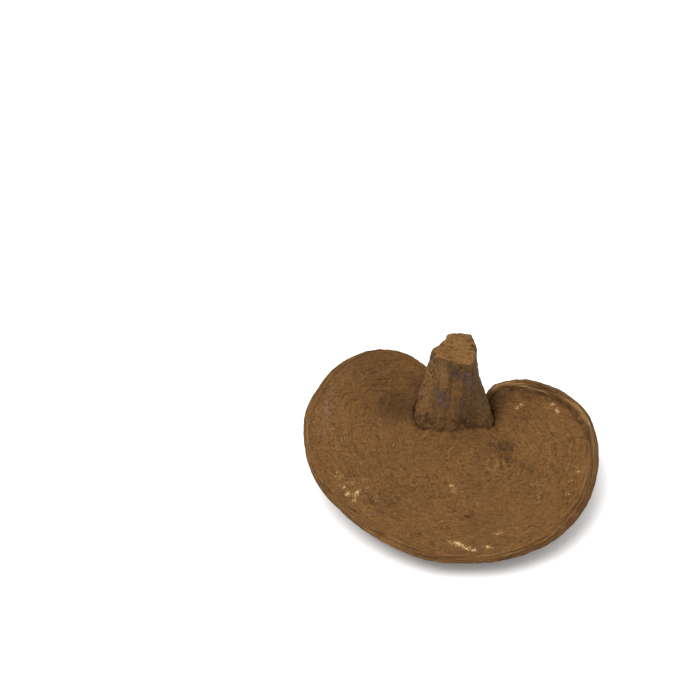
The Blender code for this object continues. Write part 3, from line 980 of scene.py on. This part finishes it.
def dress(tree, shader, colour, height, strength):
    """Gives a surface its colour and its powder's fine relief, a millimetre high at full strength."""
    raised = add_node(tree, "Bump", {"Strength": strength, "Distance": MM, "Height": height})
    tree.links.new(colour, shader.inputs["Base Color"])
    tree.links.new(raised["Normal"], shader.inputs["Normal"])


def tinted(tree, colour, layers):
    """Lays tints over a colour, one after another. Each layer has its mask, its share and its tint.

    A mask may instead be a value, where its effect starts and where it is full, and then a zone that
    the effect keeps to.
    """
    for mask, *limits, share, tint in layers:
        if limits:
            mask = spread_of(tree, mask, *limits[:2])
        for zone in limits[2:]:
            mask = times(tree, mask, zone)
        colour = blend(tree, times(tree, mask, share), colour, tint)
    return colour


def rim_layers(tree, colour, layers):
    """Layered growth along the margin, with more distinct strands outside the thick rim's crest, and pale
    strands on the crest that are partly a painted highlight.
    """
    rim = mark(tree, "rim")
    outside = mark(tree, "strands")
    strands = growth_noise(tree, 0.055, 1.5, 3.0, 0.6)
    return tinted(tree, colour, [
        (rim, 0.14, (0.215, 0.108, 0.036)),
        (layers, 0.44, 0.34, rim, 0.72, (0.034, 0.015, 0.005)),
        (layers, 0.56, 0.66, rim, 0.55, (0.300, 0.165, 0.064)),
        (strands, 0.485, 0.42, outside, 0.85, (0.036, 0.016, 0.005)),
        (strands, 0.53, 0.59, outside, 0.72, (0.330, 0.182, 0.070)),
        # pale growth strands on the crest, partly a painted highlight
        (strands, 0.36, 0.52, mark(tree, "crest"), 0.85, CREST_HIGHLIGHT),
    ])


def cap_powder(powder, flecks, wrinkles):
    """Brown spore powder over the whole cap, paler where it is rubbed, with painted shade in its hollows,
    creases and cracks and painted highlights on its high relief and crests.
    """
    material, tree, shader = new_material("cap_powder", 0.93, 0.12)
    here = millimetres(tree)
    grains = use_group(tree, powder, Place=here, Grain=1.1)
    wrinkled = use_group(tree, wrinkles, Place=here, Growth=growth_place(tree, 0.125, 0.42))
    veil = use_group(tree, flecks, Place=growth_place(tree, 1.6, 1.1), Mark=mark(tree, "bloom"), Size=1.0)
    bare = use_group(tree, flecks, Place=growth_place(tree, 1.25, 2.5), Mark=mark(tree, "worn"), Size=1.0)
    brushed = growth_noise(tree, 0.11, 0.9, 5.0, 0.65)
    wiped = noise_at(tree, here, 1.0, 4.0, 0.62, (0.22, 1.0, 1.0))
    layers = growth_noise(tree, 0.045, 1.35, 3.0, 0.6)
    relief_shade_and_highlight = mark(tree, "relief_shade_and_highlight")
    colour = tinted(tree, blend(tree, grains["Tone"], *CAP_GRAIN), [
        (grains["Broad"], 0.36, (0.108, 0.052, 0.017)),
        (brushed, 0.46, 0.3, 0.34, SHADE),
        (brushed, 0.54, 0.72, 0.34, (0.225, 0.116, 0.039)),
        (wiped, 0.46, 0.32, 0.3, SHADE),
        (wiped, 0.54, 0.7, 0.32, (0.235, 0.122, 0.042)),
        # painted shade in the wrinkles and a painted highlight on their crests
        (wrinkled["Shaded Lines"], 0.52, (0.055, 0.024, 0.008)),
        (wrinkled["Highlit Crests"], 0.45, (0.260, 0.138, 0.048)),
        # painted shade in low relief and a painted highlight on high relief
        (relief_shade_and_highlight, 0.46, 0.1, 0.66, PAINTED_SHADE),
        (relief_shade_and_highlight, 0.6, 1.0, 0.5, RELIEF_HIGHLIGHT),
    ])
    colour = rim_layers(tree, colour, layers)
    colour = tinted(tree, colour, [
        (mark(tree, "crust"), 0.5, blend(tree, mark(tree, "ring"), *CRUST_RING)),
        (veil["Halo"], 0.3, (0.200, 0.125, 0.075)),
        (veil["Flecks"], 0.38, (0.255, 0.178, 0.122)),
        (grains["Specks"], 0.4, SPECK),
        (grains["Pits"], 0.15, (0.050, 0.022, 0.007)),
        # painted shade in the hollows, the crevice and the seam round the foot
        (mark(tree, "recess_shade"), 0.55, PAINTED_SHADE),
        # painted shade in the hairline cracks
        (mark(tree, "crack"), 0.55, CRACK_SHADE),
        (bare["Halo"], 0.6, BARE_HALO),
        (bare["Flecks"], 1.0, BARE),
    ])
    height = plus(tree, grains["Height"], times(tree, brushed, 0.8))
    height = value_math(tree, "SUBTRACT", height, times(tree, wrinkled["Shaded Lines"], 0.35))
    height = plus(tree, height, times(tree, times(tree, layers, 3.0), mark(tree, "rim")))
    dress(tree, shader, colour, height, 0.8)
    return material


def stem_patch_tints(tree, here):
    """Paler and darker powder in uneven patches, as layers of tint."""
    uneven = noise_at(tree, here, 0.8, 3.0, 0.65, (1.0, 1.0, 0.35))
    pale = plus(tree, uneven, times(tree, mark(tree, "pale"), 0.3))
    dark = plus(tree, uneven, times(tree, mark(tree, "dark"), 0.35))
    return [
        (pale, 0.55, 0.8, 0.55, (0.200, 0.104, 0.037)),
        (dark, 0.56, 0.82, 0.55, (0.052, 0.030, 0.012)),
    ]


def chip_tints(tree, here):
    """Small dark and pale chips, strongest on the flaking strips, as layers of tint."""
    chips = noise_at(tree, here, 1.15, 2.0, 0.6, (1.0, 1.0, 0.5))
    flaky = plus(tree, times(tree, mark(tree, "flaky"), 0.66), 0.34)
    return [
        (chips, 0.46, 0.36, flaky, 1.0, (0.042, 0.022, 0.010)),
        (chips, 0.56, 0.68, flaky, 1.0, (0.250, 0.132, 0.048)),
    ]


def lacquer_tints(tree, here, flecks):
    """Dark lacquer with a bluish bloom, as layers of tint."""
    patches = mark(tree, "lacquer")
    lacquer = use_group(tree, flecks, Place=here, Mark=patches, Size=1.5)
    bloom = use_group(tree, flecks, Place=here, Mark=times(tree, patches, 0.75), Size=0.9)
    return [
        (lacquer["Halo"], 0.62, (0.070, 0.043, 0.023)),
        (lacquer["Flecks"], 0.7, BLUISH_LACQUER),
        (bloom["Flecks"], 0.8, BLUISH_BLOOM),
    ]


def stem_bark(powder, flecks):
    """The stem: powder over a dark bluish lacquer that shows in patches, and a paler torn cut end."""
    material, tree, shader = new_material("stem_bark", 0.88, 0.15)
    here = millimetres(tree)
    grains = use_group(tree, powder, Place=here, Grain=1.1)
    streak = mark(tree, "streak")
    relief_shade_and_highlight = mark(tree, "relief_shade_and_highlight")
    colour = tinted(tree, blend(tree, grains["Tone"], *STEM_GRAIN), [
        (streak, 0.46, 0.22, 0.32, (0.064, 0.034, 0.013)),
        (streak, 0.54, 0.78, 0.34, (0.205, 0.104, 0.036)),
        *stem_patch_tints(tree, here),
        *chip_tints(tree, here),
        *lacquer_tints(tree, here, flecks),
        # painted shade in low relief and a painted highlight on high relief
        (relief_shade_and_highlight, 0.44, 0.1, 0.5, (0.040, 0.019, 0.008)),
        (relief_shade_and_highlight, 0.66, 1.0, 0.4, (0.215, 0.112, 0.040)),
        # painted shade: darker towards the foot, where it meets the cap
        (mark(tree, "foot"), 0.14, (0.060, 0.031, 0.013)),
        # dark crumb grains, with painted shade along the seam with the cap
        (mark(tree, "crumbs_and_seam_shade"), 0.7, (0.026, 0.013, 0.006)),
        (grains["Specks"], 0.55, (0.270, 0.150, 0.056)),
        (grains["Pits"], 0.6, (0.038, 0.018, 0.007)),
    ])
    torn = tinted(tree, blend(tree, grains["Tone"], *CUT_GRAIN), [
        # painted shade in the torn end's low relief and a painted highlight on its high relief
        (relief_shade_and_highlight, 0.5, 0.12, 0.7, (0.060, 0.027, 0.009)),
        (relief_shade_and_highlight, 0.62, 0.95, 0.4, (0.280, 0.150, 0.055)),
    ])
    colour = blend(tree, mark(tree, "cut"), colour, torn)
    # painted shade in the slit, the nicks and the gouges
    colour = tinted(tree, colour, [(mark(tree, "slit"), 0.75, (0.022, 0.010, 0.004))])
    dress(tree, shader, colour, grains["Height"], 0.7)
    return material


# ---------------- floor, light and camera

def build_floor():
    material, tree, shader = new_material("white_table", 0.45, 0.3)
    shader.inputs["Base Color"].default_value = FLOOR_COLOUR
    shape = bmesh.new()
    bmesh.ops.create_grid(shape, x_segments=1, y_segments=1, size=FLOOR_HALF)
    floor = add_object("floor", mesh_of(shape, "floor", material))


def build_light():
    """A big soft light above and to the left, with an even pale surround that fills the shadows."""
    lamp = bpy.data.lights.new("key", "AREA")
    lamp.shape = "DISK"
    lamp.size = KEY_SIZE
    lamp.energy = KEY_POWER
    key = add_object("key", lamp)
    key.location = KEY_PLACE
    key.rotation_euler = (-Vector(KEY_PLACE)).to_track_quat("-Z", "Y").to_euler()
    world = bpy.data.worlds.new("surround")
    world.use_nodes = True
    surround = world.node_tree.nodes["Background"]
    surround.inputs["Color"].default_value = (1.0, 1.0, 1.0, 1.0)
    surround.inputs["Strength"].default_value = 1.0
    bpy.context.scene.world = world
    bpy.context.scene.view_settings.view_transform = "Standard"


def build_camera():
    lens = bpy.data.cameras.new("camera")
    lens.lens = LENS
    lens.clip_start = 0.01
    lens.clip_end = 50.0
    camera = add_object("camera", lens)
    away = Vector((0.0, -math.cos(VIEW_ELEVATION), math.sin(VIEW_ELEVATION)))
    camera.location = VIEW_AIM + away * VIEW_DISTANCE
    camera.rotation_euler = (math.pi / 2 - VIEW_ELEVATION, 0.0, 0.0)
    bpy.context.scene.camera = camera


build_camera()
build_light()
build_floor()
powder = powder_group()
flecks = fleck_group()
build_cap(cap_powder(powder, flecks, wrinkle_group()))
build_stem(stem_bark(powder, flecks))
